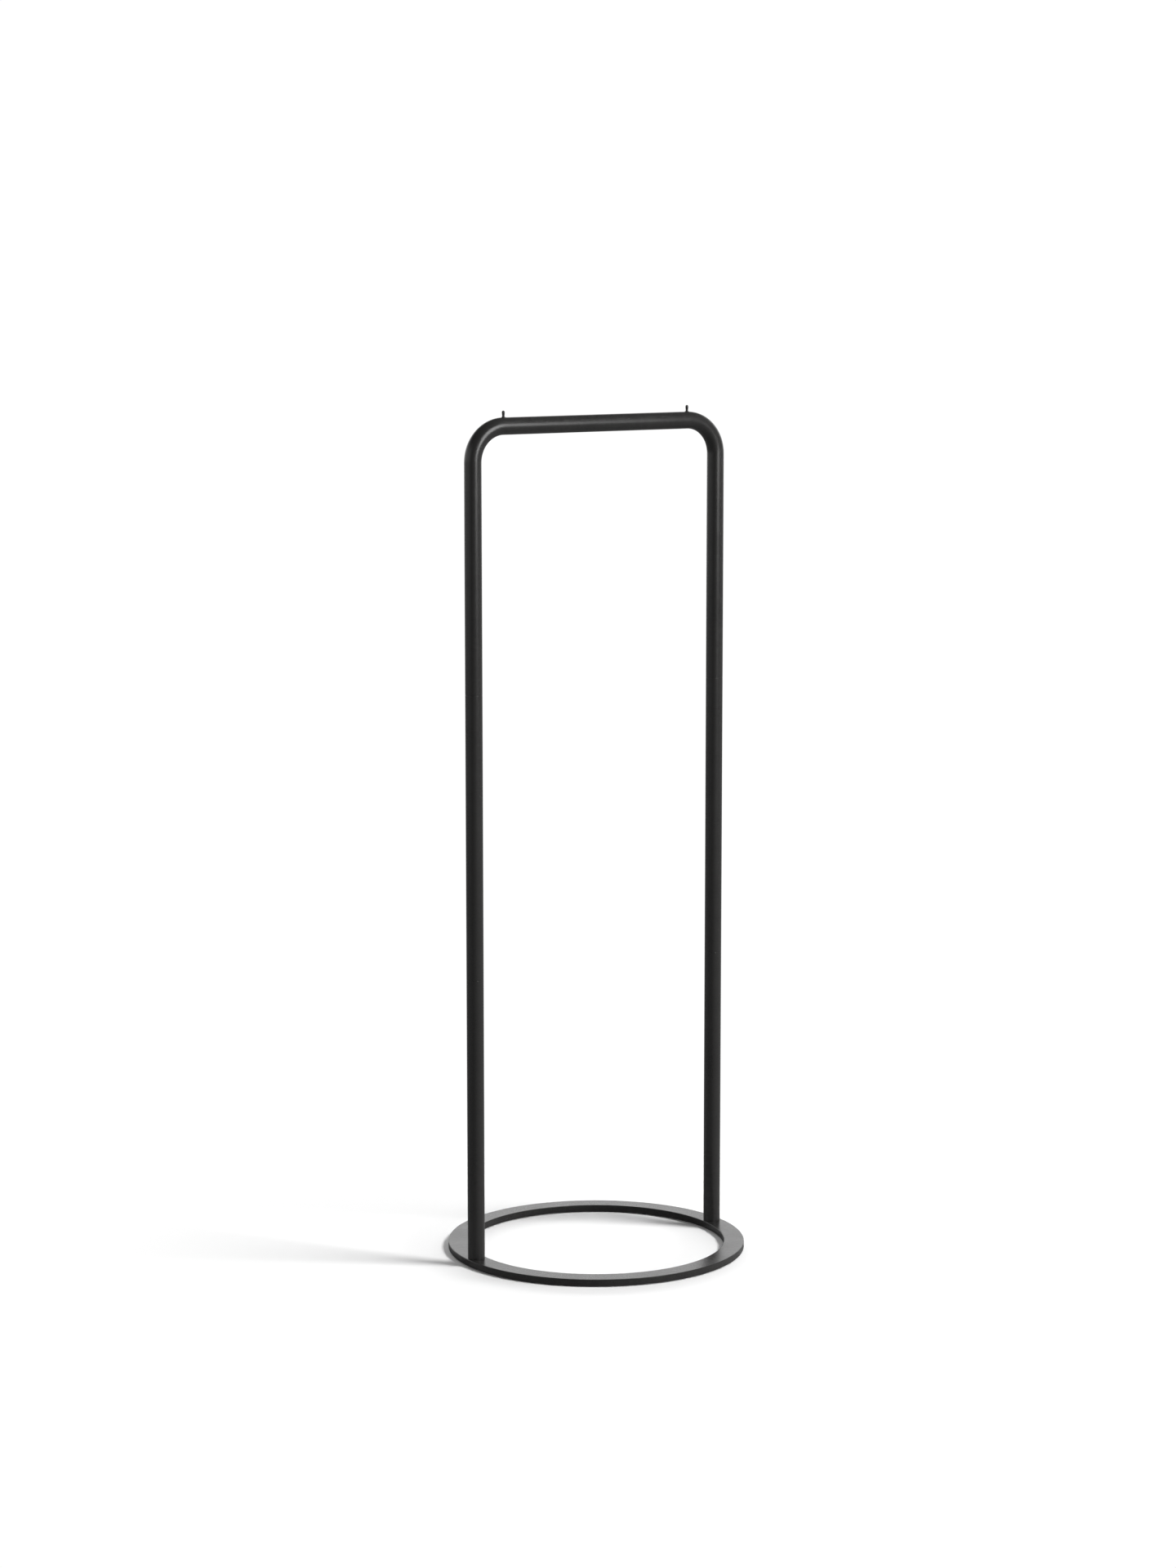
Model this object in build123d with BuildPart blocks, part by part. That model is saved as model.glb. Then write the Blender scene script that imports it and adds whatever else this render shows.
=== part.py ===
"""Free-standing coat rack: a flat steel ring carries a hoop of round tube in five lengths.

Frame: millimetres, +Z up. The origin is on the floor at the centre of the ring, and the
rail that hangers go on runs along X, so the legs stand at -X (left) and +X (right).
"""

import os
from math import cos, radians, sin

from build123d import *

# ---------------------------------------------------------------- driving dimensions, mm

# Base ring, cut from plate
ring_outer_diameter = 530.0
ring_width = 36.0
ring_thickness = 12.0
ring_edge_radius = 1.0

# Self-adhesive pads under the ring
pad_count = 6
pad_diameter = 20.0
pad_thickness = 1.5
pad_edge_chamfer = 0.3

# Round tube of the legs and the hoop
tube_diameter = 30.0
tube_wall = 1.5
tube_end_chamfer = 0.4
lower_leg_length = 500.0
middle_leg_length = 500.0
hoop_height = 475.0  # from the upper joint to the top of the rail
bend_radius = 60.0  # centreline

# Turned steel plugs brazed into the tube ends
plug_length = 20.0
plug_gap = 0.05  # radial braze gap in the tube
plug_recess = 0.1  # how far a plug stays behind its tube's end
plug_lead_chamfer = 0.8
bore_lead_chamfer = 0.5

# Headless studs that join one plug to the next
stud_diameter = 10.0
stud_length = 30.0
stud_end_chamfer = 1.0
stud_socket_across_flats = 5.0
stud_socket_depth = 5.0

# Countersunk screws that hold the legs to the ring
screw_diameter = 8.0
screw_reach = 14.0  # how far the shank goes into the leg
screw_head_diameter = 16.0
screw_head_angle = 90.0
screw_head_recess = 0.4  # how far the head stays above the ring's underside
screw_head_rim = 0.4  # the short cylinder round the head's flat face
screw_end_chamfer = 0.8
screw_socket_across_flats = 5.0
screw_socket_depth = 3.0
screw_hole_clearance = 0.3  # radial, in the ring

# Running room of every thread, on the radius
thread_gap = 0.05

# Stops that keep hangers on the straight rail
stop_height = 11.5  # above the top of the rail
stop_head_diameter = 5.2
stop_neck_diameter = 4.4
stop_foot_diameter = 7.6  # across the weld fillet
stop_foot_height = 2.0
stop_spigot_diameter = 4.0
stop_spigot_depth = 3.0  # below the top of the rail
stop_spigot_gap = 0.05  # radial
stop_seat_gap = 0.02  # between the weld fillet and the rail
stop_foot_rim = 0.3  # the fillet's upright edge above the rail
stop_inset = 0.5  # how far in from the start of the bend a stop stands

# ---------------------------------------------------------------- places worked out from them

ring_outer_radius = ring_outer_diameter / 2
ring_inner_radius = ring_outer_radius - ring_width
ring_middle_radius = ring_outer_radius - ring_width / 2

ring_bottom_z = pad_thickness
ring_top_z = ring_bottom_z + ring_thickness
lower_joint_z = ring_top_z + lower_leg_length
upper_joint_z = lower_joint_z + middle_leg_length
rail_top_z = upper_joint_z + hoop_height

tube_radius = tube_diameter / 2
tube_bore_radius = tube_radius - tube_wall
leg_x = ring_middle_radius  # the legs stand on the middle of the ring's width
rail_z = rail_top_z - tube_radius
sides = {"left": -1, "right": 1}

plug_radius = tube_bore_radius - plug_gap
stop_spigot_hole_radius = stop_spigot_diameter / 2 + stop_spigot_gap
stop_x = leg_x - bend_radius - stop_inset

screw_hole_radius = screw_diameter / 2 + screw_hole_clearance
screw_head_bottom_z = ring_bottom_z + screw_head_recess
screw_tip_z = ring_top_z + screw_reach
screw_seat_radius = screw_head_diameter / 2 + screw_head_rim + screw_head_recess

# ---------------------------------------------------------------- shared shapes and export

os.makedirs("parts", exist_ok=True)


def save(builder, name):
    """Labels a finished piece and writes it as parts/NAME.step."""
    builder.part.label = name
    export_step(builder.part, f"parts/{name}.step")


def hexagon(across_flats):
    """A hexagon for a key socket, inside the sketch that is open."""
    return RegularPolygon(across_flats / 2, 6, major_radius=False)


def leg_tube(x, bottom_z, length):
    """A straight open tube standing at x, with its two outer end corners broken."""
    with BuildPart() as tube:
        with BuildSketch(Plane((x, 0, bottom_z))):
            Circle(tube_radius)
            Circle(tube_bore_radius, mode=Mode.SUBTRACT)
        extrude(amount=length)
        rims = tube.edges().filter_by(GeomType.CIRCLE).group_by(SortBy.RADIUS)[-1]
        chamfer(rims, tube_end_chamfer)
    return tube


def end_plug(x, mouth_z, inward, bore_radius):
    """A turned plug in a tube's end. inward is +1 where the tube goes up from its mouth."""
    face_z = mouth_z + inward * plug_recess
    with BuildPart() as plug:
        with BuildSketch(Plane((x, 0, face_z), z_dir=(0, 0, inward))):
            Circle(plug_radius)
            Circle(bore_radius, mode=Mode.SUBTRACT)
        extrude(amount=plug_length)
        faces = plug.faces().filter_by(Axis.Z).sort_by(Axis.Z)
        inner_face = faces[-1] if inward > 0 else faces[0]
        outer_face = faces[0] if inward > 0 else faces[-1]
        lead = inner_face.edges().sort_by(SortBy.RADIUS)[-1]
        mouth = outer_face.edges().sort_by(SortBy.RADIUS)[0]
        chamfer(lead, plug_lead_chamfer)
        chamfer(mouth, bore_lead_chamfer)
    return plug


def joining_stud(x, joint_z):
    """A headless stud, half in the plug below the joint and half in the one above."""
    bottom_z = joint_z - stud_length / 2
    with BuildPart() as stud:
        with BuildSketch(Plane((x, 0, bottom_z))):
            Circle(stud_diameter / 2)
        extrude(amount=stud_length)
        chamfer(stud.edges().filter_by(GeomType.CIRCLE), stud_end_chamfer)
        with BuildSketch(Plane((x, 0, bottom_z))):
            hexagon(stud_socket_across_flats)
        extrude(amount=stud_socket_depth, mode=Mode.SUBTRACT)
    return stud


# ---------------------------------------------------------------- base ring

with BuildPart() as base_ring:
    with BuildSketch(Plane.XY.offset(ring_bottom_z)):
        Circle(ring_outer_radius)
        Circle(ring_inner_radius, mode=Mode.SUBTRACT)
    extrude(amount=ring_thickness)
    fillet(base_ring.edges().filter_by(GeomType.CIRCLE), ring_edge_radius)
    underside = Plane((0, 0, ring_bottom_z), z_dir=(0, 0, -1))
    with Locations(underside):
        with Locations(*[(x, 0) for x in (-leg_x, leg_x)]):
            CounterSinkHole(screw_hole_radius, screw_seat_radius, ring_thickness, screw_head_angle)
save(base_ring, "base_ring")

# ---------------------------------------------------------------- floor pads

pad_step = 360.0 / pad_count
for number in range(pad_count):
    angle = radians((number + 0.5) * pad_step)
    centre = (ring_middle_radius * cos(angle), ring_middle_radius * sin(angle), 0)
    with BuildPart() as floor_pad:
        with BuildSketch(Plane(centre)):
            Circle(pad_diameter / 2)
        extrude(amount=pad_thickness)
        chamfer(floor_pad.edges().sort_by(Axis.Z)[0], pad_edge_chamfer)
    save(floor_pad, f"floor_pad_{number + 1}")

# ---------------------------------------------------------------- legs and what joins them

for side, sign in sides.items():
    x = sign * leg_x

    save(leg_tube(x, ring_top_z, lower_leg_length), f"lower_leg_{side}")
    save(leg_tube(x, lower_joint_z, middle_leg_length), f"middle_leg_{side}")

    screw_bore = screw_diameter / 2 + thread_gap
    stud_bore = stud_diameter / 2 + thread_gap
    save(end_plug(x, ring_top_z, 1, screw_bore), f"lower_leg_foot_plug_{side}")
    save(end_plug(x, lower_joint_z, -1, stud_bore), f"lower_leg_top_plug_{side}")
    save(end_plug(x, lower_joint_z, 1, stud_bore), f"middle_leg_foot_plug_{side}")
    save(end_plug(x, upper_joint_z, -1, stud_bore), f"middle_leg_top_plug_{side}")
    save(end_plug(x, upper_joint_z, 1, stud_bore), f"hoop_end_plug_{side}")

    save(joining_stud(x, lower_joint_z), f"lower_joint_stud_{side}")
    save(joining_stud(x, upper_joint_z), f"upper_joint_stud_{side}")

# ---------------------------------------------------------------- base screws

for side, sign in sides.items():
    x = sign * leg_x
    head_radius = screw_head_diameter / 2
    shank_radius = screw_diameter / 2
    cone_top_z = screw_head_bottom_z + screw_head_rim + head_radius - shank_radius
    with BuildPart() as base_screw:
        with BuildSketch(Plane.XZ):
            with BuildLine():
                Polyline(
                    (x, screw_head_bottom_z),
                    (x + head_radius, screw_head_bottom_z),
                    (x + head_radius, screw_head_bottom_z + screw_head_rim),
                    (x + shank_radius, cone_top_z),
                    (x + shank_radius, screw_tip_z - screw_end_chamfer),
                    (x + shank_radius - screw_end_chamfer, screw_tip_z),
                    (x, screw_tip_z),
                    close=True,
                )
            make_face()
        revolve(axis=Axis((x, 0, 0), (0, 0, 1)))
        with BuildSketch(Plane((x, 0, screw_head_bottom_z))):
            hexagon(screw_socket_across_flats)
        extrude(amount=screw_socket_depth, mode=Mode.SUBTRACT)
    save(base_screw, f"base_screw_{side}")

# ---------------------------------------------------------------- hoop with its rail

with BuildPart() as top_hoop:
    with BuildLine():
        FilletPolyline(
            (-leg_x, 0, upper_joint_z),
            (-leg_x, 0, rail_z),
            (leg_x, 0, rail_z),
            (leg_x, 0, upper_joint_z),
            radius=bend_radius,
        )
    with BuildSketch(Plane((-leg_x, 0, upper_joint_z))):
        Circle(tube_radius)
        Circle(tube_bore_radius, mode=Mode.SUBTRACT)
    sweep()
    ends = top_hoop.faces().group_by(Axis.Z)[0]
    rims = ends.edges().filter_by(GeomType.CIRCLE).group_by(SortBy.RADIUS)[-1]
    chamfer(rims, tube_end_chamfer)
    with BuildSketch(Plane.XY.offset(rail_z)):
        with Locations((-stop_x, 0), (stop_x, 0)):
            Circle(stop_spigot_hole_radius)
    extrude(amount=tube_diameter, mode=Mode.SUBTRACT)
save(top_hoop, "top_hoop")

# ---------------------------------------------------------------- hanger stops on the rail

for side, sign in sides.items():
    x = sign * stop_x
    head_radius = stop_head_diameter / 2
    neck_radius = stop_neck_diameter / 2
    foot_radius = stop_foot_diameter / 2
    spigot_radius = stop_spigot_diameter / 2
    tip_z = rail_top_z + stop_height
    # The fillet's foot starts low enough to meet the rail's round side all the way round.
    foot_z = rail_z + (tube_radius**2 - foot_radius**2) ** 0.5
    rim_z = rail_top_z + stop_foot_rim
    neck_z = rail_top_z + stop_foot_height
    with BuildPart() as hanger_stop:
        with BuildSketch(Plane.XZ):
            with BuildLine():
                Polyline((x, foot_z), (x + foot_radius, foot_z), (x + foot_radius, rim_z))
                Spline(
                    (x + foot_radius, rim_z),
                    (x + neck_radius, neck_z),
                    (x + head_radius, tip_z - head_radius),
                    tangents=((-1, 0.35), (0, 1)),
                )
                RadiusArc((x + head_radius, tip_z - head_radius), (x, tip_z), -head_radius)
                Line((x, tip_z), (x, foot_z))
            make_face()
        revolve(axis=Axis((x, 0, 0), (0, 0, 1)))
        with BuildSketch(Plane((0, 0, rail_z), x_dir=(0, 1, 0), z_dir=(1, 0, 0))):
            Circle(tube_radius + stop_seat_gap)
        extrude(amount=leg_x, both=True, mode=Mode.SUBTRACT)
        with BuildSketch(Plane((x, 0, rail_top_z - stop_spigot_depth))):
            Circle(spigot_radius)
        extrude(amount=stop_spigot_depth + stop_foot_height)
    save(hanger_stop, f"hanger_stop_{side}")
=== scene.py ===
"""Looks of the standing coat rack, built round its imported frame.

The rack is a flat steel ring that carries a hoop of round tube in five lengths. This script makes the
meshes that show it as the real thing, gives each finish its own procedural material, and sets up a pale
studio with the camera. Lengths are in metres, in the frame's own axes: the hanging rail runs along X.
"""

import logging
import math
from dataclasses import dataclass, field
from enum import Enum
from typing import TypeAlias

import bmesh
import bpy
from mathutils import Matrix, Vector


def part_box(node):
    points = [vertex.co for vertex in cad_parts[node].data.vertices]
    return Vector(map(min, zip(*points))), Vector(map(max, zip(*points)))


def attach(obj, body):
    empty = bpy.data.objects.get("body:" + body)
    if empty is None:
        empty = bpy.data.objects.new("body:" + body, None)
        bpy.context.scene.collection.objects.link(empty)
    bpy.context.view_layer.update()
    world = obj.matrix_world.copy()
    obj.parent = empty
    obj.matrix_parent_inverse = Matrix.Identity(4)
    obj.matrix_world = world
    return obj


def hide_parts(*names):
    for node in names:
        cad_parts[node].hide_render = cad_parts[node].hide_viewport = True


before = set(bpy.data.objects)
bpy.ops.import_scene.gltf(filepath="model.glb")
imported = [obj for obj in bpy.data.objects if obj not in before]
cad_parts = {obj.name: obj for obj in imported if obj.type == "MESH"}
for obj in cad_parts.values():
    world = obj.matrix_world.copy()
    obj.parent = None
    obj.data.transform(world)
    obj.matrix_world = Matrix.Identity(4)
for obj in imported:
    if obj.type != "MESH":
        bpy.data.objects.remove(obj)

LOG = logging.getLogger("coat_rack")
MM = 0.001
ROOT = "root"
QUARTER_TURN = 90.0
MERGE_DISTANCE = 0.0005 * MM
HOLE_SIDES = 96
THREAD_STEPS = 8
FLANK_STEEPNESS = 1.35
ROOT_FLAT = 0.15
SCREW_CREASE = 25.0
NOISE_ROUGHNESS = 0.55
WHITE = (1.0, 1.0, 1.0, 1.0)

Number: TypeAlias = "Scalar | float"
Colour: TypeAlias = tuple[float, float, float]
Socket: TypeAlias = bpy.types.NodeSocket
Piece: TypeAlias = bpy.types.Object


# ---- node trees


class Scalar:
    """A number inside a node tree, which Python's operators combine into Math nodes."""

    def __init__(self, graph: "Graph", socket: Socket) -> None:
        """Wraps an output socket of a graph's node."""
        self.graph = graph
        self.socket = socket

    def math(self, operation: str, *operands: Number) -> "Scalar":
        """Adds one Math node.

        Args:
            operation: The Math node's operation, such as "ADD".
            operands: Its inputs in order, each a Scalar or a plain number.

        Returns:
            The node's result.
        """
        node = self.graph.add("ShaderNodeMath", {"operation": operation}, dict(enumerate(operands)))
        return Scalar(self.graph, node.outputs[0])

    def __add__(self, other: Number) -> "Scalar":
        """The sum of two numbers."""
        return self.math("ADD", self, other)

    def __radd__(self, other: Number) -> "Scalar":
        """The sum, with the plain number first."""
        return self.math("ADD", other, self)

    def __sub__(self, other: Number) -> "Scalar":
        """The difference of two numbers."""
        return self.math("SUBTRACT", self, other)

    def __rsub__(self, other: Number) -> "Scalar":
        """The difference, with the plain number first."""
        return self.math("SUBTRACT", other, self)

    def __mul__(self, other: Number) -> "Scalar":
        """The product of two numbers."""
        return self.math("MULTIPLY", self, other)

    def __rmul__(self, other: Number) -> "Scalar":
        """The product, with the plain number first."""
        return self.math("MULTIPLY", other, self)

    def __truediv__(self, other: Number) -> "Scalar":
        """The quotient of two numbers."""
        return self.math("DIVIDE", self, other)

    def __abs__(self) -> "Scalar":
        """The number without its sign."""
        return self.math("ABSOLUTE", self)

    def fraction(self) -> "Scalar":
        """The part after the decimal point."""
        return self.math("FRACT", self)

    def root(self) -> "Scalar":
        """The square root."""
        return self.math("SQRT", self)

    def lesser(self, other: Number) -> "Scalar":
        """The smaller of two numbers."""
        return self.math("MINIMUM", self, other)

    def greater(self, other: Number) -> "Scalar":
        """The larger of two numbers."""
        return self.math("MAXIMUM", self, other)

    def above(self, limit: Number) -> "Scalar":
        """1 where the number is over a limit, and 0 elsewhere."""
        return self.math("GREATER_THAN", self, limit)

    def bearing(self, x: Number) -> "Scalar":
        """The angle of the point whose Y is this number and whose X is the other."""
        return self.math("ARCTAN2", self, x)

    def clamped(self) -> "Scalar":
        """The number held between 0 and 1."""
        return self.greater(0.0).lesser(1.0)

    def smooth_step(self, low: float, high: float) -> "Scalar":
        """A soft ramp.

        Args:
            low: Where the ramp leaves 0.
            high: Where the ramp reaches 1.

        Returns:
            The ramp's value, from 0 to 1.
        """
        node = self.graph.add(
            "ShaderNodeMapRange",
            {"interpolation_type": "SMOOTHSTEP"},
            {"Value": self, "From Min": low, "From Max": high},
        )
        return Scalar(self.graph, node.outputs["Result"])


class Graph:
    """A node tree under construction."""

    def __init__(self, tree: bpy.types.NodeTree) -> None:
        """Starts on an empty tree."""
        self.tree = tree
        tree.nodes.clear()

    def add(
        self,
        kind: str,
        settings: dict[str, object] | None = None,
        inputs: dict[str | int, object] | None = None,
    ) -> bpy.types.Node:
        """Adds one node of any kind.

        Args:
            kind: The node's type, such as "ShaderNodeBump".
            settings: Its properties, set first.
            inputs: For each input, by name or by position, a value, a Scalar, a socket or a list of sockets.

        Returns:
            The new node.
        """
        node = self.tree.nodes.new(kind)
        for key, value in (settings or {}).items():
            setattr(node, key, value)
        for key, value in (inputs or {}).items():
            socket = node.inputs[key]
            value = value.socket if isinstance(value, Scalar) else value
            sources = value if isinstance(value, list) else [value]
            for source in sources:
                if isinstance(source, Socket):
                    self.tree.links.new(source, socket)
                else:
                    socket.default_value = source
        return node

    def number(self, node: bpy.types.Node, output: str | int = 0) -> Scalar:
        """One output of a node, ready for arithmetic."""
        return Scalar(self, node.outputs[output])

    def seen_or_felt(self, seen: Number, felt: Number) -> Scalar:
        """One number where the camera looks, and another for all other light."""
        return felt + (seen - felt) * self.number(self.add("ShaderNodeLightPath"), "Is Camera Ray")

    def vector(self, x: Number = 0.0, y: Number = 0.0, z: Number = 0.0) -> Socket:
        """A vector put together from its three parts."""
        return self.add("ShaderNodeCombineXYZ", inputs={0: x, 1: y, 2: z}).outputs[0]

    def axes(self, vector: Socket) -> tuple[Scalar, Scalar, Scalar]:
        """The three parts of a vector."""
        node = self.add("ShaderNodeSeparateXYZ", inputs={0: vector})
        return self.number(node, 0), self.number(node, 1), self.number(node, 2)


class Recipe(Graph):
    """A Geometry Nodes tree with named inputs, which ends in plain geometry that wears one finish."""

    def __init__(self, name: str, **inputs: str) -> None:
        """Args:
            name: The tree's name.
            inputs: The kind of each input, such as "Float", by its name.
        """
        super().__init__(bpy.data.node_groups.new(name, "GeometryNodeTree"))
        self.tree.is_modifier = True
        for label, kind in {"blank": "Geometry", **inputs, "finish": "Material"}.items():
            self.tree.interface.new_socket(label, in_out="INPUT", socket_type=f"NodeSocket{kind}")
        self.tree.interface.new_socket("result", in_out="OUTPUT", socket_type="NodeSocketGeometry")
        self.given = self.add("NodeGroupInput").outputs

    def value(self, label: str) -> Scalar:
        """A named input, ready for arithmetic."""
        return Scalar(self, self.given[label])

    def deliver(self, geometry: Socket) -> None:
        """Ends the tree with real, dressed geometry."""
        real = self.add("GeometryNodeRealizeInstances", inputs={0: geometry})
        worn = {"Geometry": real.outputs[0], "Material": self.given["finish"]}
        dressed = self.add("GeometryNodeSetMaterial", inputs=worn)
        self.add("NodeGroupOutput", inputs={0: dressed.outputs[0]})

    def put_on(self, blank: Piece, **values: object) -> None:
        """Hangs the recipe on an object.

        Args:
            blank: The object whose mesh goes in.
            values: Each input's value, by its name.
        """
        modifier = blank.modifiers.new(self.tree.name, "NODES")
        modifier.node_group = self.tree
        sockets = {item.name: item.identifier for item in self.tree.interface.items_tree}
        for label, value in values.items():
            modifier[sockets[label]] = value


# ---- finishes


class Surface(Graph):
    """A new material's nodes, with patterns that stay put on the piece."""

    def __init__(self, name: str) -> None:
        """Makes an empty material of that name."""
        self.material = bpy.data.materials.new(name)
        self.material.use_nodes = True
        super().__init__(self.material.node_tree)
        self.place = self.add("ShaderNodeTexCoord").outputs["Object"]

    def finish_with(self, shader: Socket) -> bpy.types.Material:
        """Links the shader to the output and hands the material over."""
        self.add("ShaderNodeOutputMaterial", inputs={"Surface": shader})
        return self.material

    def noise(self, size: float, detail: float, place: Socket | None = None) -> Scalar:
        """Cloudy noise.

        Args:
            size: The size of its features, in metres.
            detail: How many finer layers it has.
            place: The position that it is read at, or None for the place on the piece.

        Returns:
            The noise, mostly between 0.3 and 0.7.
        """
        pattern = {"Vector": self.place if place is None else place, "Scale": 1.0 / size}
        pattern |= {"Detail": detail, "Roughness": NOISE_ROUGHNESS}
        return self.number(self.add("ShaderNodeTexNoise", inputs=pattern), "Fac")

    def tint(self, amount: Scalar, dark: Colour, light: Colour) -> Socket:
        """A colour between two others.

        Args:
            amount: 0 for the first colour and 1 for the second.
            dark: The first colour.
            light: The second colour.

        Returns:
            The mixed colour's socket.
        """
        colours = {"Factor": amount, 6: (*dark, 1.0), 7: (*light, 1.0)}
        return self.add("ShaderNodeMix", {"data_type": "RGBA"}, colours).outputs[2]

    def relief(self, height: Scalar, depth: float) -> Socket:
        """A bump.

        Args:
            height: The height, from 0 to 1.
            depth: What a height of 1 stands for, in metres.

        Returns:
            The bumped normal's socket.
        """
        bump = self.add("ShaderNodeBump", inputs={"Strength": 1.0, "Distance": depth, "Height": height})
        return bump.outputs["Normal"]


@dataclass(frozen=True)
class Finish:
    """What all finishes share: a slot of the record, two colours, and how rough and how deep they are."""

    slot: str = ""
    deep: Colour = (0.0, 0.0, 0.0)
    pale: Colour = (1.0, 1.0, 1.0)
    roughness: float = 0.5
    depth: float = 0.01 * MM

    def material(self) -> bpy.types.Material:
        """Builds the finish's material.

        Returns:
            A new material, whose principled shader has the finish's own look.
        """
        surface = Surface(self.slot)
        shader = surface.add("ShaderNodeBsdfPrincipled", inputs=self.look(surface))
        return surface.finish_with(shader.outputs[0])

    def look(self, surface: Surface) -> dict[str, object]:
        """The shader's inputs, which each finish works out in its own way."""
        raise NotImplementedError


@dataclass(frozen=True)
class PowderCoat(Finish):
    """Black powder coat, semi-gloss, with the fine grain that it dries to."""

    slot: str = "black_powder_coat"
    deep: Colour = (0.0175, 0.0171, 0.0168)
    pale: Colour = (0.0235, 0.0229, 0.0224)
    roughness: float = 0.28
    depth: float = 0.014 * MM
    roughness_swing: float = 0.10
    grain: float = 0.8 * MM
    grain_share: float = 0.7
    speck: float = 0.3 * MM
    cloud: float = 45.0 * MM
    shade_swing: float = 0.8
    shade_base: float = 0.3

    def look(self, surface: Surface) -> dict[str, object]:
        """Mixes a grain, finer specks and broad clouds.

        Args:
            surface: The material under construction.

        Returns:
            The shader's inputs.
        """
        grain = surface.noise(self.grain, 1.0)
        speck = surface.noise(self.speck, 0.0)
        cloud = surface.noise(self.cloud, 3.0)
        height = grain * self.grain_share + speck * (1.0 - self.grain_share)
        shade = (grain * self.shade_swing + cloud * self.shade_swing - self.shade_base).clamped()
        swing = (cloud - 0.5) * self.roughness_swing + (speck - 0.5) * self.roughness_swing
        return {
            "Base Color": surface.tint(shade, self.deep, self.pale),
            "Roughness": self.roughness + swing,
            "IOR": 1.5,
            "Normal": surface.relief(height, self.depth),
        }


@dataclass(frozen=True)
class PlatedSteel(Finish):
    """Bright zinc over turned steel, with the tool's fine rings left in it."""

    slot: str = "zinc_plated_steel"
    deep: Colour = (0.50, 0.52, 0.56)
    pale: Colour = (0.70, 0.71, 0.72)
    roughness: float = 0.28
    depth: float = 0.006 * MM
    ring: float = 0.12 * MM
    ring_swing: float = 0.2
    cloud: float = 3.0 * MM
    cloud_swing: float = 0.15

    def look(self, surface: Surface) -> dict[str, object]:
        """Lays tool rings, which change along Z only, over cloudy plating.

        Args:
            surface: The material under construction.

        Returns:
            The shader's inputs.
        """
        _, _, height = surface.axes(surface.place)
        rings = surface.noise(self.ring, 2.0, surface.vector(z=height))
        cloud = surface.noise(self.cloud, 3.0)
        swing = (rings - 0.5) * self.ring_swing + (cloud - 0.5) * self.cloud_swing
        return {
            "Base Color": surface.tint(cloud, self.deep, self.pale),
            "Metallic": 1.0,
            "Roughness": self.roughness + swing,
            "Normal": surface.relief(rings, self.depth),
        }


@dataclass(frozen=True)
class BlackenedSteel(Finish):
    """Black oxide on hardened screws, a little brown where the oil has dried."""

    slot: str = "blackened_screw_steel"
    deep: Colour = (0.035, 0.034, 0.034)
    pale: Colour = (0.085, 0.075, 0.066)
    roughness: float = 0.34
    depth: float = 0.010 * MM
    roughness_swing: float = 0.3
    mottle: float = 1.6 * MM
    mottle_span: tuple[float, float] = (0.35, 0.75)
    pit: float = 0.15 * MM

    def look(self, surface: Surface) -> dict[str, object]:
        """Mottles the oxide and pits it finely.

        Args:
            surface: The material under construction.

        Returns:
            The shader's inputs.
        """
        mottle = surface.noise(self.mottle, 4.0)
        pit = surface.noise(self.pit, 1.0)
        return {
            "Base Color": surface.tint(mottle.smooth_step(*self.mottle_span), self.deep, self.pale),
            "Metallic": 0.85,
            "Roughness": self.roughness + (mottle - 0.5) * self.roughness_swing,
            "Normal": surface.relief(pit, self.depth),
        }


@dataclass(frozen=True)
class PadRubber(Finish):
    """Matt black rubber with a moulded stipple."""

    slot: str = "floor_pad_rubber"
    deep: Colour = (0.020, 0.020, 0.021)
    pale: Colour = (0.042, 0.041, 0.040)
    roughness: float = 0.78
    depth: float = 0.08 * MM
    roughness_swing: float = 0.2
    stipple: float = 0.7 * MM
    stipple_span: tuple[float, float] = (0.1, 0.7)
    dust: float = 4.0 * MM
    dust_span: tuple[float, float] = (0.4, 0.7)

    def look(self, surface: Surface) -> dict[str, object]:
        """Stipples the rubber and greys it with a little dust.

        Args:
            surface: The material under construction.

        Returns:
            The shader's inputs.
        """
        cells = {"Vector": surface.place, "Scale": 1.0 / self.stipple}
        bumps = surface.number(surface.add("ShaderNodeTexVoronoi", inputs=cells), "Distance")
        dust = surface.noise(self.dust, 4.0)
        return {
            "Base Color": surface.tint(dust.smooth_step(*self.dust_span), self.deep, self.pale),
            "Roughness": self.roughness + (dust - 0.5) * self.roughness_swing,
            "Normal": surface.relief(1.0 - bumps.smooth_step(*self.stipple_span), self.depth),
        }


COAT, PLATED, BLACKENED, RUBBER = PowderCoat(), PlatedSteel(), BlackenedSteel(), PadRubber()


# ---- making pieces


def new_object(name: str, mesh: bpy.types.Mesh) -> Piece:
    """Puts a mesh in the scene as an object of that name."""
    made = bpy.data.objects.new(name, mesh)
    bpy.context.scene.collection.objects.link(made)
    return made


def settle(blank: Piece, name: str, crease: float = 32.0) -> Piece:
    """Turns an object and its modifiers into one plain, closed, smooth-shaded mesh.

    Args:
        blank: The object to evaluate, which is then removed.
        name: The finished piece's name.
        crease: The angle, in degrees, from which an edge stays crisp.

    Returns:
        The finished piece, at the origin.
    """
    depsgraph = bpy.context.evaluated_depsgraph_get()
    mesh = bpy.data.meshes.new_from_object(blank.evaluated_get(depsgraph), depsgraph=depsgraph)
    bpy.data.objects.remove(blank)
    tidy = bmesh.new()
    tidy.from_mesh(mesh)
    bmesh.ops.remove_doubles(tidy, verts=tidy.verts, dist=MERGE_DISTANCE)
    bmesh.ops.recalc_face_normals(tidy, faces=tidy.faces)
    tidy.to_mesh(mesh)
    tidy.free()
    mesh.name = name
    mesh.shade_smooth()
    mesh.set_sharp_from_angle(angle=math.radians(crease))
    return new_object(name, mesh)


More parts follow.
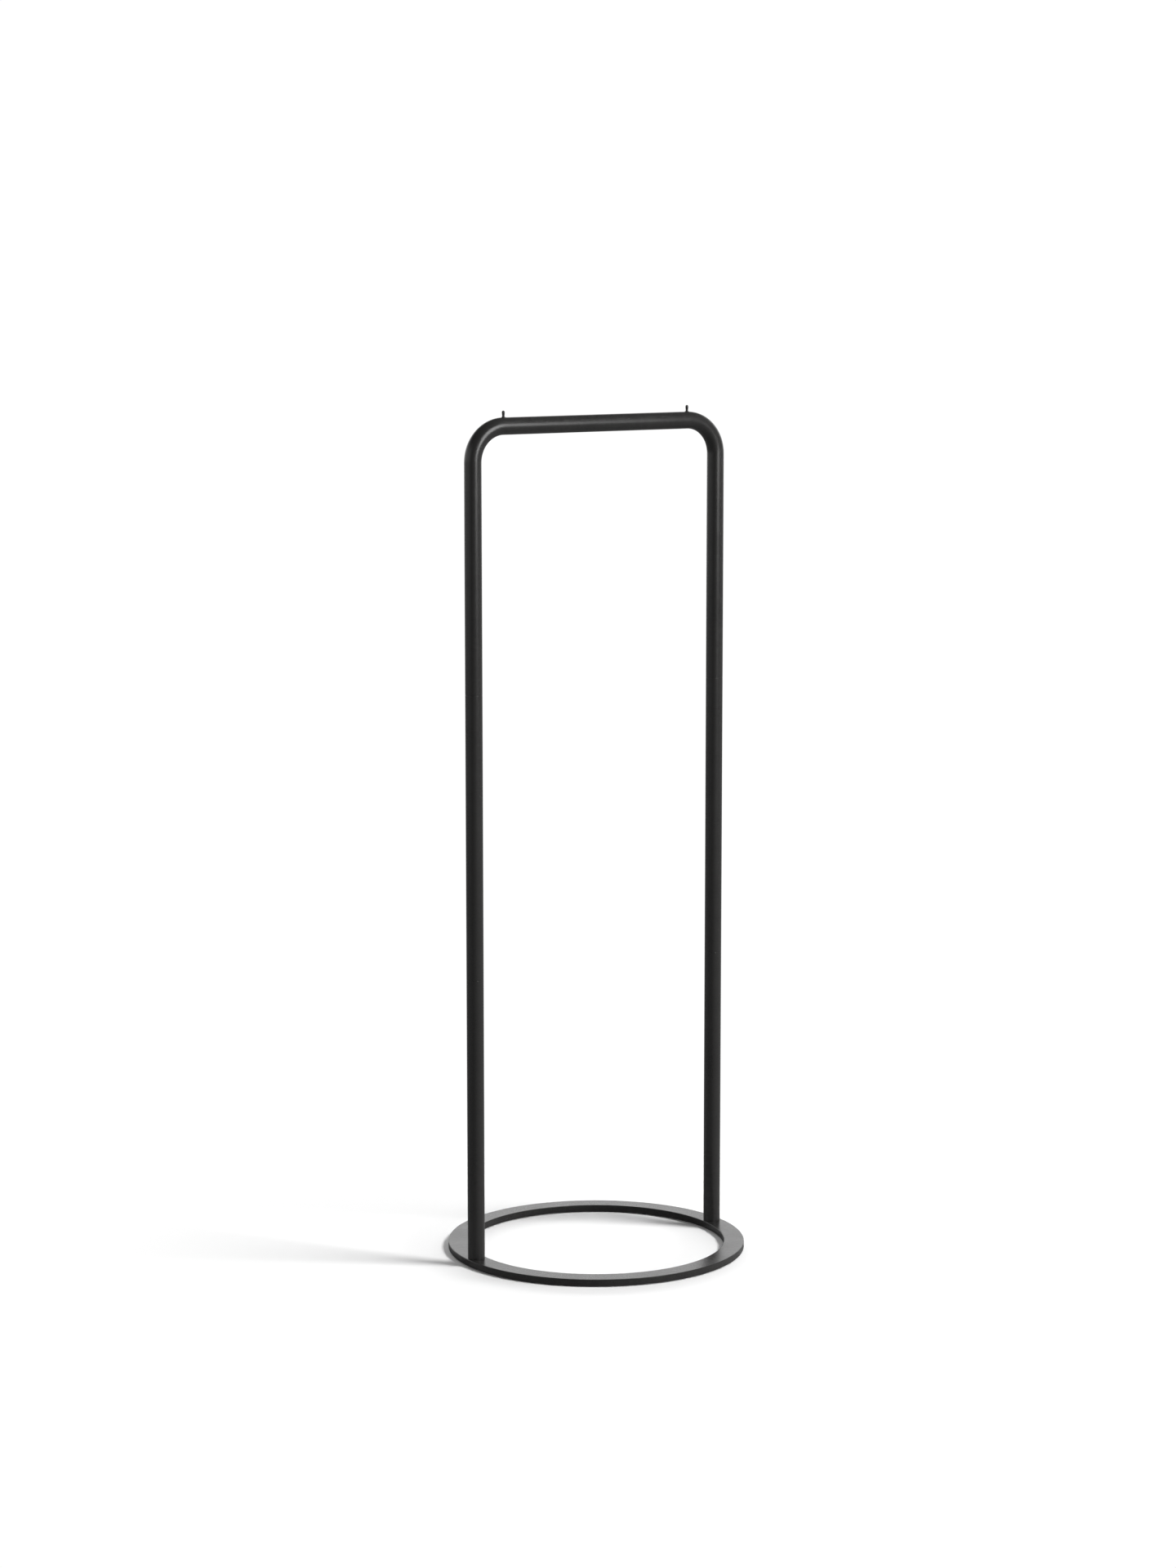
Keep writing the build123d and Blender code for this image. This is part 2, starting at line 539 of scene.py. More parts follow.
class Section(Enum):
    """The outline of a turned piece at one height."""

    ROUND = "round"
    HEXAGON = "hexagon"
    THREADED = "threaded"
    SADDLED = "saddled"


@dataclass(frozen=True)
class Cut:
    """One circle of a turned piece's profile."""

    radius: float
    height: float
    section: Section = Section.ROUND


def arc(centre: tuple[float, float], radii: tuple[float, float], start: float, steps: int) -> list[Cut]:
    """Cuts along a quarter of a circle or an ellipse, anticlockwise with the radius to the right.

    Args:
        centre: The arc's centre, as a radius and a height.
        radii: Its half-widths across and up.
        start: The first angle, in degrees from straight out.
        steps: How many stretches it is divided in.

    Returns:
        The cuts in order, both ends among them.
    """
    angles = [math.radians(start + QUARTER_TURN * step / steps) for step in range(steps + 1)]
    return [Cut(centre[0] + radii[0] * math.cos(a), centre[1] + radii[1] * math.sin(a)) for a in angles]


def even_cuts(radius: float, low: float, high: float, pitch: float, section: Section) -> list[Cut]:
    """Cuts of one radius, evenly spaced, up or down.

    Args:
        radius: Their radius.
        low: The first height.
        high: The last height.
        pitch: The most that they are apart.
        section: Their outline.

    Returns:
        The cuts in order, both ends among them.
    """
    steps = max(1, math.ceil(abs(high - low) / pitch))
    return [Cut(radius, low + (high - low) * step / steps, section) for step in range(steps + 1)]


@dataclass
class Turning:
    """A piece turned on a lathe: a profile spun round an upright axis."""

    name: str
    cuts: list[Cut]
    sides: int = 48
    closed: bool = False
    saddle_radius: float = 0.0

    def ring(self, build: bmesh.types.BMesh, cut: Cut) -> list[bmesh.types.BMVert]:
        """Makes the vertices of one cut.

        Args:
            build: The mesh under construction.
            cut: The cut to make.

        Returns:
            One vertex on the axis, or as many as the turning has sides.
        """
        if cut.radius <= 0.0:
            return [build.verts.new((0.0, 0.0, cut.height))]
        made = []
        wedge = math.tau / 6
        for side in range(self.sides):
            angle = math.tau * side / self.sides
            radius = cut.radius
            if cut.section is Section.HEXAGON:
                radius /= math.cos((angle + wedge / 2) % wedge - wedge / 2)
            across = radius * math.sin(angle)
            height = cut.height
            if cut.section is Section.SADDLED:
                height += math.sqrt(self.saddle_radius**2 - across**2) - self.saddle_radius
            made.append(build.verts.new((radius * math.cos(angle), across, height)))
        return made

    def object(self) -> Piece:
        """Makes the turning on the Z axis, with its threaded stretches marked.

        Returns:
            The object, with a "thread" attribute of 1 where a thread is cut.
        """
        build = bmesh.new()
        marks = build.verts.layers.float.new("thread")
        rings = []
        for cut in self.cuts:
            ring = self.ring(build, cut)
            for vertex in ring:
                vertex[marks] = 1.0 if cut.section is Section.THREADED else 0.0
            rings.append(ring)
        for first, second in zip(rings, rings[1:] + rings[:1] if self.closed else rings[1:]):
            for side in range(self.sides):
                after = (side + 1) % self.sides
                corners = [first[side % len(first)], first[after % len(first)]]
                corners += [second[after % len(second)], second[side % len(second)]]
                build.faces.new(list(dict.fromkeys(corners)))
        bmesh.ops.recalc_face_normals(build, faces=build.faces)
        mesh = bpy.data.meshes.new(self.name)
        build.to_mesh(mesh)
        build.free()
        return new_object(self.name, mesh)


def thread_recipe() -> Recipe:
    """Cuts a helical thread into the marked stretches of an upright turning.

    Returns:
        A recipe that moves the turning to its place and cuts a thread of the given pitch and depth.
    """
    recipe = Recipe(
        "cut_thread", place="Vector", major_radius="Float", pitch="Float", depth="Float", inside="Float"
    )
    moves = {"Geometry": recipe.given["blank"], "Translation": recipe.given["place"]}
    moved = recipe.add("GeometryNodeTransform", inputs=moves)
    here = recipe.add("GeometryNodeInputPosition").outputs[0]
    arm = recipe.add("ShaderNodeVectorMath", {"operation": "SUBTRACT"}, {0: here, 1: recipe.given["place"]})
    x, y, _ = recipe.axes(arm.outputs[0])
    _, _, height = recipe.axes(here)
    blank_radius = (x * x + y * y).root()
    turns = height / recipe.value("pitch") - y.bearing(x) / math.tau
    wave = abs(turns.fraction() * 2.0 - 1.0)
    crest = (wave * FLANK_STEEPNESS - ROOT_FLAT).clamped()
    cut_radius = recipe.value("major_radius") - recipe.value("depth") * (1.0 - crest)
    outer = cut_radius.lesser(blank_radius)
    inner = cut_radius.greater(blank_radius)
    growth = (outer + (inner - outer) * recipe.value("inside")) / blank_radius - 1.0
    marks = recipe.add("GeometryNodeInputNamedAttribute", {"data_type": "FLOAT"}, {"Name": "thread"})
    marked = recipe.number(marks).above(0.5)
    moves = {"Geometry": moved.outputs[0], "Selection": marked}
    moves["Offset"] = recipe.vector(x * growth, y * growth)
    recipe.deliver(recipe.add("GeometryNodeSetPosition", inputs=moves).outputs[0])
    return recipe


def drilling_recipe() -> Recipe:
    """Drills and countersinks the ring from below, wherever a leg stands.

    Returns:
        A recipe that takes two equal holes on the X axis out of the blank.
    """
    recipe = Recipe(
        "drill_and_countersink",
        reach="Float",
        bottom="Float",
        drill_radius="Float",
        drill_depth="Float",
        seat_radius="Float",
    )
    reach, bottom = recipe.value("reach"), recipe.value("bottom")
    line = {
        "Count": 2,
        "Start Location": recipe.vector(x=reach * -1.0, z=bottom),
        "Offset": recipe.vector(x=reach * 2.0),
    }
    points = recipe.add("GeometryNodeMeshLine", inputs=line).outputs[0]
    radius, depth = recipe.value("drill_radius"), recipe.value("drill_depth")
    bore = {"Vertices": HOLE_SIDES, "Radius": radius, "Depth": depth}
    drill = recipe.add("GeometryNodeMeshCylinder", inputs=bore)
    overshoot = MM
    size = recipe.value("seat_radius") + overshoot
    seat = {"Vertices": HOLE_SIDES, "Radius Top": 0.0, "Radius Bottom": size, "Depth": size}
    sink = recipe.add("GeometryNodeMeshCone", inputs=seat)
    moves = {"Geometry": sink.outputs[0], "Translation": (0.0, 0.0, -overshoot)}
    lowered = recipe.add("GeometryNodeTransform", inputs=moves)
    cutters = []
    for tool in (drill, lowered):
        placed = {"Points": points, "Instance": tool.outputs[0]}
        cutters.append(recipe.add("GeometryNodeInstanceOnPoints", inputs=placed).outputs[0])
    solids = {"Mesh 1": recipe.given["blank"], "Mesh 2": cutters}
    drilled = recipe.add("GeometryNodeMeshBoolean", {"operation": "DIFFERENCE", "solver": "EXACT"}, solids)
    recipe.deliver(drilled.outputs[0])
    return recipe


def scatter_recipe() -> Recipe:
    """Sets copies of the blank evenly round a circle on the floor.

    Returns:
        A recipe with the circle's radius, the number of copies and where the first one stands.
    """
    recipe = Recipe("round_the_ring", radius="Float", copies="Int", first_angle="Float")
    places = {"Vertices": recipe.given["copies"], "Radius": recipe.given["radius"]}
    circle = recipe.add("GeometryNodeMeshCircle", inputs=places)
    spin = recipe.vector(z=recipe.value("first_angle"))
    turned = recipe.add("GeometryNodeTransform", inputs={"Geometry": circle.outputs[0], "Rotation": spin})
    placed = {"Points": turned.outputs[0], "Instance": recipe.given["blank"]}
    recipe.deliver(recipe.add("GeometryNodeInstanceOnPoints", inputs=placed).outputs[0])
    return recipe


def tube_recipe() -> Recipe:
    """Draws a round tube's outer skin along the blank's edges.

    Returns:
        A recipe with the tube's radius and its number of sides.
    """
    recipe = Recipe("draw_tube", radius="Float", sides="Int")
    path = recipe.add("GeometryNodeMeshToCurve", inputs={"Mesh": recipe.given["blank"]})
    circle = {"Resolution": recipe.given["sides"], "Radius": recipe.given["radius"]}
    outline = recipe.add("GeometryNodeCurvePrimitiveCircle", inputs=circle)
    curves = {"Curve": path.outputs[0], "Profile Curve": outline.outputs[0]}
    recipe.deliver(recipe.add("GeometryNodeCurveToMesh", inputs=curves).outputs[0])
    return recipe


@dataclass
class Workshop:
    """The recipes that all sub-assemblies share, and a material for each finish that is worn."""

    thread: Recipe = field(default_factory=thread_recipe)
    drilling: Recipe = field(default_factory=drilling_recipe)
    scatter: Recipe = field(default_factory=scatter_recipe)
    tube: Recipe = field(default_factory=tube_recipe)
    made: dict[str, bpy.types.Material] = field(default_factory=dict)

    def fit(self, piece: Piece, finish: Finish, *nodes: str) -> None:
        """Dresses a finished piece and fixes it to the frame in place of its CAD nodes.

        Args:
            piece: The finished piece.
            finish: The finish that it wears.
            nodes: The CAD nodes that it stands for.
        """
        if finish.slot not in self.made:
            self.made[finish.slot] = finish.material()
        piece.data.materials.clear()
        piece.data.materials.append(self.made[finish.slot])
        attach(piece, ROOT)
        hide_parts(*nodes)
        LOG.info("%s: %d faces for %s", piece.name, len(piece.data.polygons), ", ".join(nodes))


# ---- the rack


class Side(Enum):
    """Which leg, as its place along X."""

    LEFT = -1
    RIGHT = 1

    @property
    def label(self) -> str:
        """The word that CAD nodes on this side end with."""
        return self.name.lower()


@dataclass(frozen=True)
class RackSizes:
    """Sizes and places that the pieces share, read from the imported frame."""

    ring_radius: float
    ring_bottom: float
    ring_top: float
    leg_x: float
    tube_radius: float
    upper_joint: float
    rail_axis: float

    @classmethod
    def from_frame(cls) -> "RackSizes":
        """Reads them from the boxes of the CAD nodes."""
        ring_low, ring_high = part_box("base_ring")
        leg_low, leg_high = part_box("middle_leg_right")
        _, hoop_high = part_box("top_hoop")
        radius = (leg_high.x - leg_low.x) / 2
        return cls(
            ring_radius=ring_high.x,
            ring_bottom=ring_low.z,
            ring_top=ring_high.z,
            leg_x=(leg_low.x + leg_high.x) / 2,
            tube_radius=radius,
            upper_joint=leg_high.z,
            rail_axis=hoop_high.z - radius,
        )

    def on_leg(self, side: Side, height: float) -> Vector:
        """The place on a leg's axis at a height."""
        return Vector((side.value * self.leg_x, 0.0, height))


@dataclass(frozen=True)
class Thread:
    """A metric thread."""

    diameter: float
    pitch: float
    depth: float
    gap: float = 0.05 * MM

    def cut(self, shop: Workshop, blank: Piece, place: Vector, inside: bool) -> None:
        """Hangs the thread recipe on a blank.

        Args:
            shop: Where the recipe is.
            blank: The turning to thread, still on the Z axis.
            place: Where it goes.
            inside: Whether the thread is cut in a bore.
        """
        shop.thread.put_on(
            blank,
            place=place,
            major_radius=self.diameter / 2 + (self.gap if inside else 0.0),
            pitch=self.pitch,
            depth=self.depth,
            inside=float(inside),
        )


M8 = Thread(diameter=8.0 * MM, pitch=1.25 * MM, depth=0.767 * MM)
M10 = Thread(diameter=10.0 * MM, pitch=1.5 * MM, depth=0.920 * MM)


@dataclass(frozen=True)
class KeySocket:
    """A hexagon socket for a key, sunk in a face at height 0."""

    across_flats: float
    depth: float
    drill_point: float = 0.5 * MM
    drill_share: float = 0.94
    mouth_depth: float = 0.25 * MM
    mouth_share: float = 1.19

    def cuts(self) -> list[Cut]:
        """The cuts from the socket's floor out to the face."""
        flat = self.across_flats / 2
        return [
            Cut(0.0, self.depth + self.drill_point),
            Cut(flat * self.drill_share, self.depth),
            Cut(flat, self.depth, Section.HEXAGON),
            Cut(flat, self.mouth_depth, Section.HEXAGON),
            Cut(flat * self.mouth_share, 0.0),
        ]


@dataclass
class TubeRun:
    """A length of round tube along straight runs that one radius of bend joins."""

    name: str
    corners: list[Vector]
    radius: float
    bend_radius: float = 60.0 * MM
    wall: float = 1.5 * MM
    rim: float = 0.4 * MM
    rim_segments: int = 3
    rim_angle: float = 60.0
    sides: int = 128
    bend_step: float = 1.5
    stride: float = 45.0 * MM
    rim_stride: float = 1.0 * MM
    fine_stride: float = 0.8 * MM
    fine_steps: int = 6
    least_stride: float = 0.3 * MM
    fine_places: tuple[float, ...] = ()

    def straight(self, start: Vector, end: Vector) -> list[Vector]:
        """Places along a straight run, closer together at its ends and where something is let in.

        Args:
            start: Where the run starts.
            end: Where it ends.

        Returns:
            The places in order, without the run's last.
        """
        length = (end - start).length
        along = {0.0, self.rim_stride, length - self.rim_stride}
        steps = round(length / self.stride)
        along |= {length * step / steps for step in range(steps)}
        for place in self.fine_places:
            if abs(start.z - end.z) < MM:
                middle = place - start.x
                reach = range(-self.fine_steps, self.fine_steps + 1)
                along |= {middle + self.fine_stride * step for step in reach}
        kept = sorted(distance for distance in along if 0.0 <= distance < length)
        spaced = [kept[0]]
        for distance in kept[1:]:
            if distance - spaced[-1] > self.least_stride:
                spaced.append(distance)
        return [start.lerp(end, distance / length) for distance in spaced]

    def path(self) -> list[Vector]:
        """The tube's centreline.

        Returns:
            Its points in order.
        """
        points: list[Vector] = []
        start = self.corners[0]
        for corner, after in zip(self.corners[1:-1], self.corners[2:]):
            inward, outward = (corner - start).normalized(), (after - corner).normalized()
            enter, leave = corner - inward * self.bend_radius, corner + outward * self.bend_radius
            points += self.straight(start, enter)
            centre = enter + outward * self.bend_radius
            steps = round(QUARTER_TURN / self.bend_step)
            for step in range(steps):
                angle = math.radians(QUARTER_TURN * step / steps)
                across = inward * math.sin(angle) - outward * math.cos(angle)
                points.append(centre + across * self.bend_radius)
            start = leave
        return [*points, *self.straight(start, self.corners[-1]), self.corners[-1]]

    def object(self, shop: Workshop) -> Piece:
        """Makes the tube with its wall and its broken rims, as live modifiers.

        Args:
            shop: Where the recipe is.

        Returns:
            The object, ready to settle or to be cut.
        """
        points = self.path()
        line = bpy.data.meshes.new(self.name)
        line.from_pydata(points, [(i, i + 1) for i in range(len(points) - 1)], [])
        tube = new_object(self.name, line)
        shop.tube.put_on(tube, radius=self.radius, sides=self.sides)
        wall = tube.modifiers.new("wall", "SOLIDIFY")
        wall.thickness, wall.offset, wall.use_even_offset = self.wall, -1.0, True
        rim = tube.modifiers.new("rim", "BEVEL")
        rim.limit_method, rim.angle_limit = "ANGLE", math.radians(self.rim_angle)
        rim.width, rim.segments = self.rim, self.rim_segments
        return tube


@dataclass
class Base:
    """The flat ring, with its pads and the screws that hold the legs."""

    sizes: RackSizes
    shop: Workshop
    edge_radius: float = 1.0 * MM
    edge_steps: int = 6
    flat_margin: float = 0.3 * MM
    ring_sides: int = 384
    pad_count: int = 6
    pad_sides: int = 64
    pad_edge_radius: float = 0.35 * MM
    pad_edge_steps: int = 4
    pad_margin: float = 0.5 * MM
    pad_top_chamfer: float = 0.1 * MM
    drill_radius: float = 4.3 * MM
    drill_overreach: int = 4
    screw_socket: KeySocket = KeySocket(5.0 * MM, 3.0 * MM)
    screw_head_rim: float = 0.4 * MM
    screw_face_edge: float = 0.3 * MM
    screw_face_rise: float = 0.08 * MM
    screw_end_chamfer: float = 0.8 * MM

    def ring(self) -> Piece:
        """The ring: a plate profile spun round, then drilled for the screws."""
        sizes, edge = self.sizes, self.edge_radius
        outer, inner = sizes.ring_radius, 2 * sizes.leg_x - sizes.ring_radius
        low, high, hold = sizes.ring_bottom, sizes.ring_top, self.flat_margin
        round_edge, steps = (edge, edge), self.edge_steps
        cuts = [
            *arc((outer - edge, low + edge), round_edge, -90.0, steps),
            Cut(outer, low + edge + hold),
            Cut(outer, high - edge - hold),
            *arc((outer - edge, high - edge), round_edge, 0.0, steps),
            Cut(outer - edge - hold, high),
            Cut(inner + edge + hold, high),
            *arc((inner + edge, high - edge), round_edge, 90.0, steps),
            Cut(inner, high - edge - hold),
            Cut(inner, low + edge + hold),
            *arc((inner + edge, low + edge), round_edge, 180.0, steps),
            Cut(inner + edge + hold, low),
            Cut(outer - edge - hold, low),
        ]
        blank = Turning("base_ring_plate", cuts, self.ring_sides, closed=True).object()
        screw_low, screw_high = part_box("base_screw_right")
        recess = screw_low.z - low
        self.shop.drilling.put_on(
            blank,
            reach=sizes.leg_x,
            bottom=low,
            drill_radius=self.drill_radius,
            drill_depth=self.drill_overreach * (high - low),
            seat_radius=(screw_high.x - screw_low.x) / 2 + self.screw_head_rim + recess,
        )
        return settle(blank, "base_ring_plate")

    def pads(self) -> Piece:
        """The rubber pads, one blank repeated round the ring."""
        low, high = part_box("floor_pad_1")
        radius, thickness = (high.x - low.x) / 2, high.z - low.z
        edge, chamfer = self.pad_edge_radius, self.pad_top_chamfer
        cuts = [
            Cut(0.0, 0.0),
            Cut(radius - edge - self.pad_margin, 0.0),
            *arc((radius - edge, edge), (edge, edge), -90.0, self.pad_edge_steps),
            Cut(radius, thickness - chamfer),
            Cut(radius - chamfer, thickness),
            Cut(0.0, thickness),
        ]
        blank = Turning("floor_pad_set", cuts, self.pad_sides).object()
        first = (low + high) / 2
        circle, angle = math.hypot(first.x, first.y), math.atan2(first.y, first.x)
        self.shop.scatter.put_on(blank, radius=circle, copies=self.pad_count, first_angle=angle)
        return settle(blank, "floor_pad_set")

    def screw(self, side: Side) -> Piece:
        """A countersunk socket screw, head down, with its thread in the leg's foot.

        Args:
            side: The leg that it holds.

        Returns:
            The finished screw.
        """
        name = f"base_screw_{side.label}"
        low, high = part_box(name)
        head, shank, length = (high.x - low.x) / 2, M8.diameter / 2, high.z - low.z
        neck = self.screw_head_rim + head - shank
        end, pitch = length - self.screw_end_chamfer, M8.pitch
        cuts = [
            *self.screw_socket.cuts(),
            Cut(head - 2 * self.screw_face_edge, 0.0),
            Cut(head - self.screw_face_edge, 0.0),
            Cut(head - self.screw_face_rise, self.screw_face_rise),
            Cut(head, self.screw_face_edge),
            Cut(head, self.screw_head_rim),
            Cut(shank, neck),
            *even_cuts(shank, neck + pitch, end, pitch / THREAD_STEPS, Section.THREADED),
            Cut(shank - self.screw_end_chamfer, length),
            Cut(0.0, length),
        ]
        blank = Turning(name, cuts).object()
        M8.cut(self.shop, blank, self.sizes.on_leg(side, low.z), inside=False)
        return settle(blank, f"{name}_socket_head", SCREW_CREASE)

    def build(self) -> None:
        """Makes and fits the base's pieces."""
        self.shop.fit(self.ring(), COAT, "base_ring")
        pads = [f"floor_pad_{number + 1}" for number in range(self.pad_count)]
        self.shop.fit(self.pads(), RUBBER, *pads)
        for side in Side:
            self.shop.fit(self.screw(side), BLACKENED, f"base_screw_{side.label}")


@dataclass
class Leg:
    """One leg below the hoop: two tubes, their end plugs and the studs that join them."""

    side: Side
    sizes: RackSizes
    shop: Workshop
    lead_chamfer: float = 0.8 * MM
    face_break: float = 0.2 * MM
    mouth_chamfer: float = 0.5 * MM
    stud_end_chamfer: float = 1.0 * MM
    stud_socket: KeySocket = KeySocket(5.0 * MM, 5.0 * MM)

    def tube(self, node: str) -> Piece:
        """A straight tube between the heights of its CAD node."""
        low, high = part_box(node)
        ends = [self.sizes.on_leg(self.side, height) for height in (low.z, high.z)]
        run = TubeRun(f"{node}_tube", ends, self.sizes.tube_radius)
        return settle(run.object(self.shop), f"{node}_tube")

    def plug(self, node: str, thread: Thread, inward: int) -> Piece:
        """A threaded plug in a tube's end.

        Args:
            node: Its CAD node.
            thread: The thread in its bore.
            inward: 1 where the tube goes up from the plug's face, and -1 where it goes down.

        Returns:
            The finished plug.
        """
        low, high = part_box(node)
        radius, length = (high.x - low.x) / 2, high.z - low.z
        root = thread.diameter / 2 + thread.gap
        bore, mouth = root - thread.depth, root + self.mouth_chamfer / 2
        slope, step = mouth - bore, thread.pitch / THREAD_STEPS
        cuts = [
            Cut(mouth, 0.0),
            Cut(radius - self.face_break, 0.0),
            Cut(radius, self.face_break),
            Cut(radius, length - self.lead_chamfer),
            Cut(radius - self.lead_chamfer, length),
            Cut(mouth, length),
            *even_cuts(mouth, length, length - slope, step, Section.THREADED)[1:-1],
            *even_cuts(bore, length - slope, slope, step, Section.THREADED),
        ]
        cuts = [Cut(cut.radius, inward * cut.height, cut.section) for cut in cuts]
        blank = Turning(node, cuts, closed=True).object()
        face = low.z if inward > 0 else high.z
        thread.cut(self.shop, blank, self.sizes.on_leg(self.side, face), inside=True)
        return settle(blank, f"{node}_turned")

    def stud(self, node: str) -> Piece:
        """A headless stud, with the socket that a key turns it by at its lower end."""
        low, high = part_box(node)
        radius, length, chamfer = M10.diameter / 2, high.z - low.z, self.stud_end_chamfer
        step = M10.pitch / THREAD_STEPS
        cuts = [
            *self.stud_socket.cuts(),
            Cut(radius - chamfer, 0.0),
            *even_cuts(radius, chamfer, length - chamfer, step, Section.THREADED),
            Cut(radius - chamfer, length),
            Cut(0.0, length),
        ]
        blank = Turning(node, cuts).object()
        M10.cut(self.shop, blank, self.sizes.on_leg(self.side, low.z), inside=False)
        return settle(blank, f"{node}_threaded", SCREW_CREASE)

    def build(self) -> None:
        """Makes and fits the leg's pieces, from the ring up."""
        fit, label = self.shop.fit, self.side.label
        for part in ("lower_leg", "middle_leg"):
            fit(self.tube(f"{part}_{label}"), COAT, f"{part}_{label}")
        plugs = {
            "lower_leg_foot_plug": (M8, 1),
            "lower_leg_top_plug": (M10, -1),
            "middle_leg_foot_plug": (M10, 1),
            "middle_leg_top_plug": (M10, -1),
            "hoop_end_plug": (M10, 1),
        }
        for part, (thread, inward) in plugs.items():
            node = f"{part}_{label}"
            fit(self.plug(node, thread, inward), PLATED, node)
        for part in ("lower_joint_stud", "upper_joint_stud"):
            fit(self.stud(f"{part}_{label}"), PLATED, f"{part}_{label}")


@dataclass
class Hoop:
    """The bent top length with its rail, and the stops at the rail's ends."""

    sizes: RackSizes
    shop: Workshop
    stop_head_radius: float = 2.6 * MM
    stop_neck_radius: float = 2.2 * MM
    weld_height: float = 2.0 * MM
    weld_rim: float = 0.3 * MM
    weld_steps: int = 8
    head_steps: int = 10
    taper_steps: int = 8
    seat_gap: float = 0.02 * MM
    spigot_radius: float = 2.0 * MM
    spigot_chamfer: float = 0.3 * MM
    spigot_hole_radius: float = 2.05 * MM
    stop_crease: float = 50.0

    def stop_place(self, side: Side) -> Vector:
        """The crest of the rail where a stop stands."""
        low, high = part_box(f"hanger_stop_{side.label}")
        return Vector(((low.x + high.x) / 2, 0.0, self.sizes.rail_axis + self.sizes.tube_radius))

    def tube(self) -> Piece:
        """The hoop's tube, with a hole in the rail for each stop's spigot."""
        sizes = self.sizes
        joint, rail = sizes.upper_joint, sizes.rail_axis
        corners = [(Side.LEFT, joint), (Side.LEFT, rail), (Side.RIGHT, rail), (Side.RIGHT, joint)]
        points = [sizes.on_leg(side, height) for side, height in corners]
        places = tuple(self.stop_place(side).x for side in Side)
        tube = TubeRun("top_hoop_tube", points, sizes.tube_radius, fine_places=places).object(self.shop)
        drills = []
        for side in Side:
            depth = sizes.tube_radius
            cuts = [Cut(0.0, -depth), Cut(self.spigot_hole_radius, -depth)]
            cuts += [Cut(self.spigot_hole_radius, depth), Cut(0.0, depth)]
            drill = Turning("drill", cuts).object()
            drill.data.transform(Matrix.Translation(self.stop_place(side)))
            hole = tube.modifiers.new("spigot_hole", "BOOLEAN")
            hole.operation, hole.solver, hole.object = "DIFFERENCE", "EXACT", drill
            drills.append(drill)
        piece = settle(tube, "top_hoop_tube")
        for drill in drills:
            bpy.data.objects.remove(drill)
        return piece

    def stop(self, side: Side) -> Piece:
        """A round-headed stop with its weld, saddled on the rail.

        Args:
            side: The end of the rail where it stands.

        Returns:
            The finished stop.
        """
        low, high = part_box(f"hanger_stop_{side.label}")
        place = self.stop_place(side)
        head, neck, foot = self.stop_head_radius, self.stop_neck_radius, (high.x - low.x) / 2
        shoulder, tip, weld = high.z - place.z - head, low.z - place.z, self.weld_height
        spigot, chamfer = self.spigot_radius, self.spigot_chamfer
        taper = []
        for step in range(1, self.taper_steps):
            share = step / self.taper_steps
            ease = (1.0 + math.cos(math.pi * share)) / 2
            taper.append(Cut(neck + (head - neck) * ease, shoulder + (weld - shoulder) * share))
        cuts = [
            *reversed(arc((0.0, shoulder), (head, head), 0.0, self.head_steps)),
            *taper,
            *arc((foot, weld), (foot - neck, weld - self.weld_rim), 180.0, self.weld_steps),
            Cut(foot, self.seat_gap, Section.SADDLED),
            Cut(spigot, self.seat_gap, Section.SADDLED),
            Cut(spigot, tip + chamfer),
            Cut(spigot - chamfer, tip),
            Cut(0.0, tip),
        ]
        name = f"hanger_stop_{side.label}_peg"
        blank = Turning(name, cuts, saddle_radius=self.sizes.tube_radius).object()
        blank.data.transform(Matrix.Translation(place))
        return settle(blank, name, self.stop_crease)

    def build(self) -> None:
        """Makes and fits the hoop and its stops."""
        self.shop.fit(self.tube(), COAT, "top_hoop")
        for side in Side:
            self.shop.fit(self.stop(side), COAT, f"hanger_stop_{side.label}")


# ---- the studio


def heading(azimuth: float, elevation: float) -> Vector:
    """The direction from the rack towards a place round it.

    Args:
        azimuth: Degrees from -Y towards +X.
        elevation: Degrees above the horizon.

    Returns:
        A unit vector.
    """
    turn, rise = math.radians(azimuth), math.radians(elevation)
    return Vector((math.sin(turn) * math.cos(rise), -math.cos(turn) * math.cos(rise), math.sin(rise)))


@dataclass(frozen=True)
class Viewpoint:
    """The camera: where it stands, what it looks at and its lens."""

    azimuth: float = -31.16
    elevation: float = 8.611
    distance: float = 6.615
    aim: tuple[float, float, float] = (-0.0125, 0.0076, 0.8390)
    lens: float = 86.13
    sensor: float = 36.0
    clip: tuple[float, float] = (0.1, 100.0)

    def build(self) -> None:
        """Makes the camera and gives it to the scene."""
        camera = bpy.data.cameras.new("studio_camera")
        camera.lens, camera.sensor_width = self.lens, self.sensor
        camera.clip_start, camera.clip_end = self.clip
        back = heading(self.azimuth, self.elevation)
        stand = bpy.data.objects.new("studio_camera", camera)
        stand.location = Vector(self.aim) + back * self.distance
        stand.rotation_euler = (-back).to_track_quat("-Z", "Y").to_euler()
        bpy.context.scene.collection.objects.link(stand)
        bpy.context.scene.camera = stand


class Reach(Enum):
    """What a light falls on: the shine of things or their matt colour."""

    SHINE = "shine"
    MATT = "matt"


